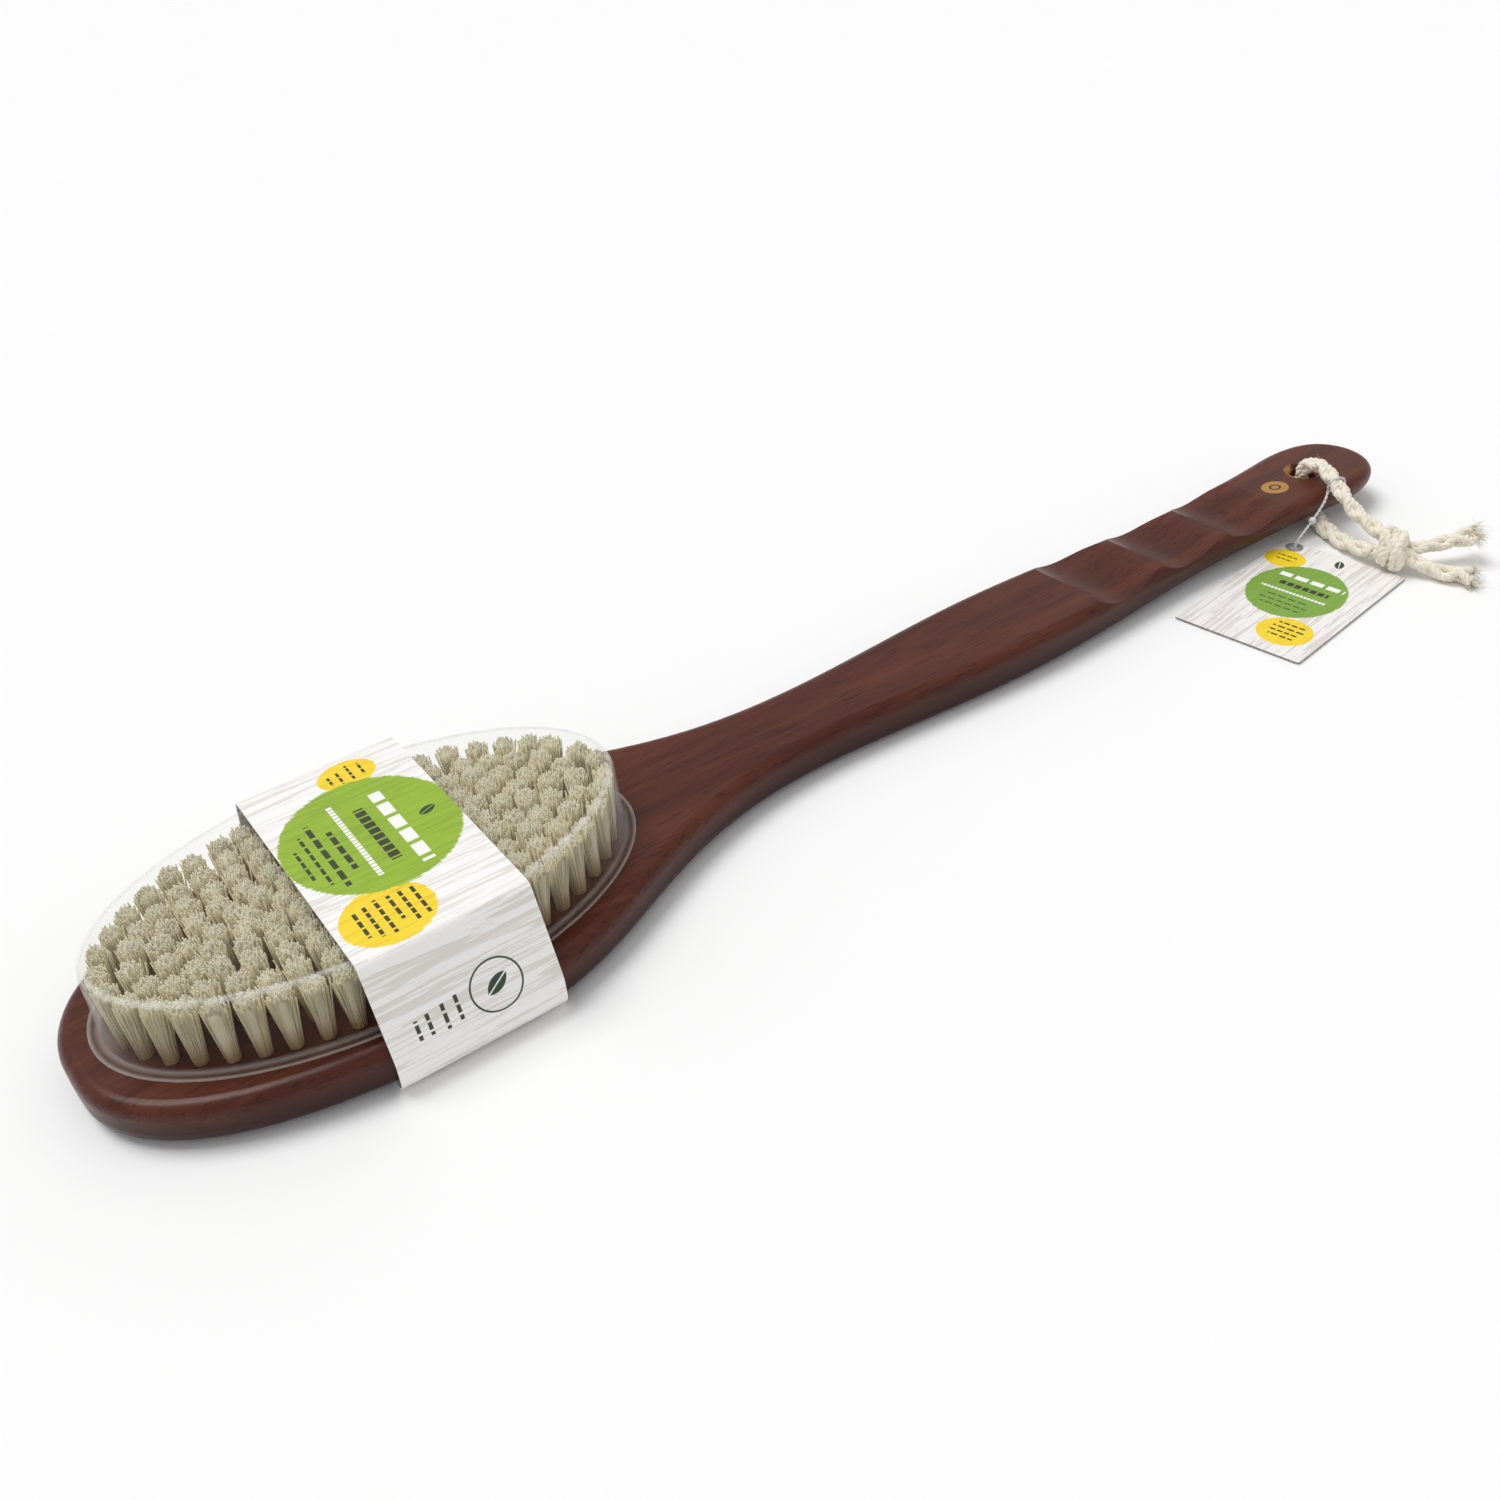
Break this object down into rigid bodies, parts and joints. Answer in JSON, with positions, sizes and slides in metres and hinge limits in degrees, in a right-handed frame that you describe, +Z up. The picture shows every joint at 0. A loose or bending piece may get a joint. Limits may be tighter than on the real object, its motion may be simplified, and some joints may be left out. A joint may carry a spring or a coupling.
{
  "type": "body dry brush",
  "caption": "Long-handled wooden body brush with bristle tufts under a clear cover, a card sleeve, a hanging rope with a knot, and a hang tag on a string",
  "frame": {"origin": "on the surface the brush lies on, under the middle of its wooden body", "axes": "+X from the tip of the head to the end of the handle, +Z up out of the bristles, -Y towards the side that the rope lies on"},
  "size_m": [0.4301, 0.1119, 0.0316],
  "materials": {
    "stained_wood": "dark red-brown stain under satin lacquer",
    "bristle": "cream natural bristle",
    "staple_wire": "flat wire",
    "clear_plastic": "thin clear formed sheet",
    "printed_card": "printed pale wood-grain card",
    "cotton_rope": "twisted natural cotton",
    "tag_string": "fine pale thread",
    "string_bead": "small moulded bead",
    "eyelet_metal": "pressed grey metal"
  },
  "bodies": {
    "brush": {"brush_body": "stained_wood", "bristle_tufts_row_1": "bristle", "bristle_tufts_row_2": "bristle", "bristle_tufts_row_3": "bristle", "bristle_tufts_row_4": "bristle", "bristle_tufts_row_5": "bristle", "bristle_tufts_row_6": "bristle", "tuft_staples_row_1": "staple_wire", "tuft_staples_row_2": "staple_wire", "tuft_staples_row_3": "staple_wire", "tuft_staples_row_4": "staple_wire", "tuft_staples_row_5": "staple_wire", "tuft_staples_row_6": "staple_wire", "bristle_cover": "clear_plastic"},
    "sleeve": {"card_sleeve": "printed_card"},
    "rope": {"hanging_rope": "cotton_rope", "rope_knot": "cotton_rope", "rope_upper_tail": "cotton_rope", "rope_lower_tail": "cotton_rope"},
    "string": {"tag_string": "tag_string", "tag_string_loop": "tag_string", "tag_string_bead": "string_bead"},
    "tag": {"hang_tag": "printed_card", "tag_eyelet": "eyelet_metal"}
  },
  "joints": [
    {"name": "sleeve_slide", "type": "slide", "parent": "brush", "child": "sleeve", "axis": [-1, 0, 0], "range_m": [0, 0.15]},
    {"name": "rope_swing", "type": "hinge", "parent": "brush", "child": "rope", "pos_m": [0.189, 0, 0.01], "axis": [0, 0, 1], "range_deg": [-4, 20]},
    {"name": "string_swing", "type": "hinge", "parent": "rope", "child": "string", "pos_m": [0.1824, -0.0173, 0.0163], "axis": [0, 0, 1], "range_deg": [-4, 0]},
    {"name": "tag_turn", "type": "hinge", "parent": "string", "child": "tag", "pos_m": [0.16384, -0.01827, 0.0005], "axis": [0, 0, 1], "range_deg": [-25, 0]}
  ]
}
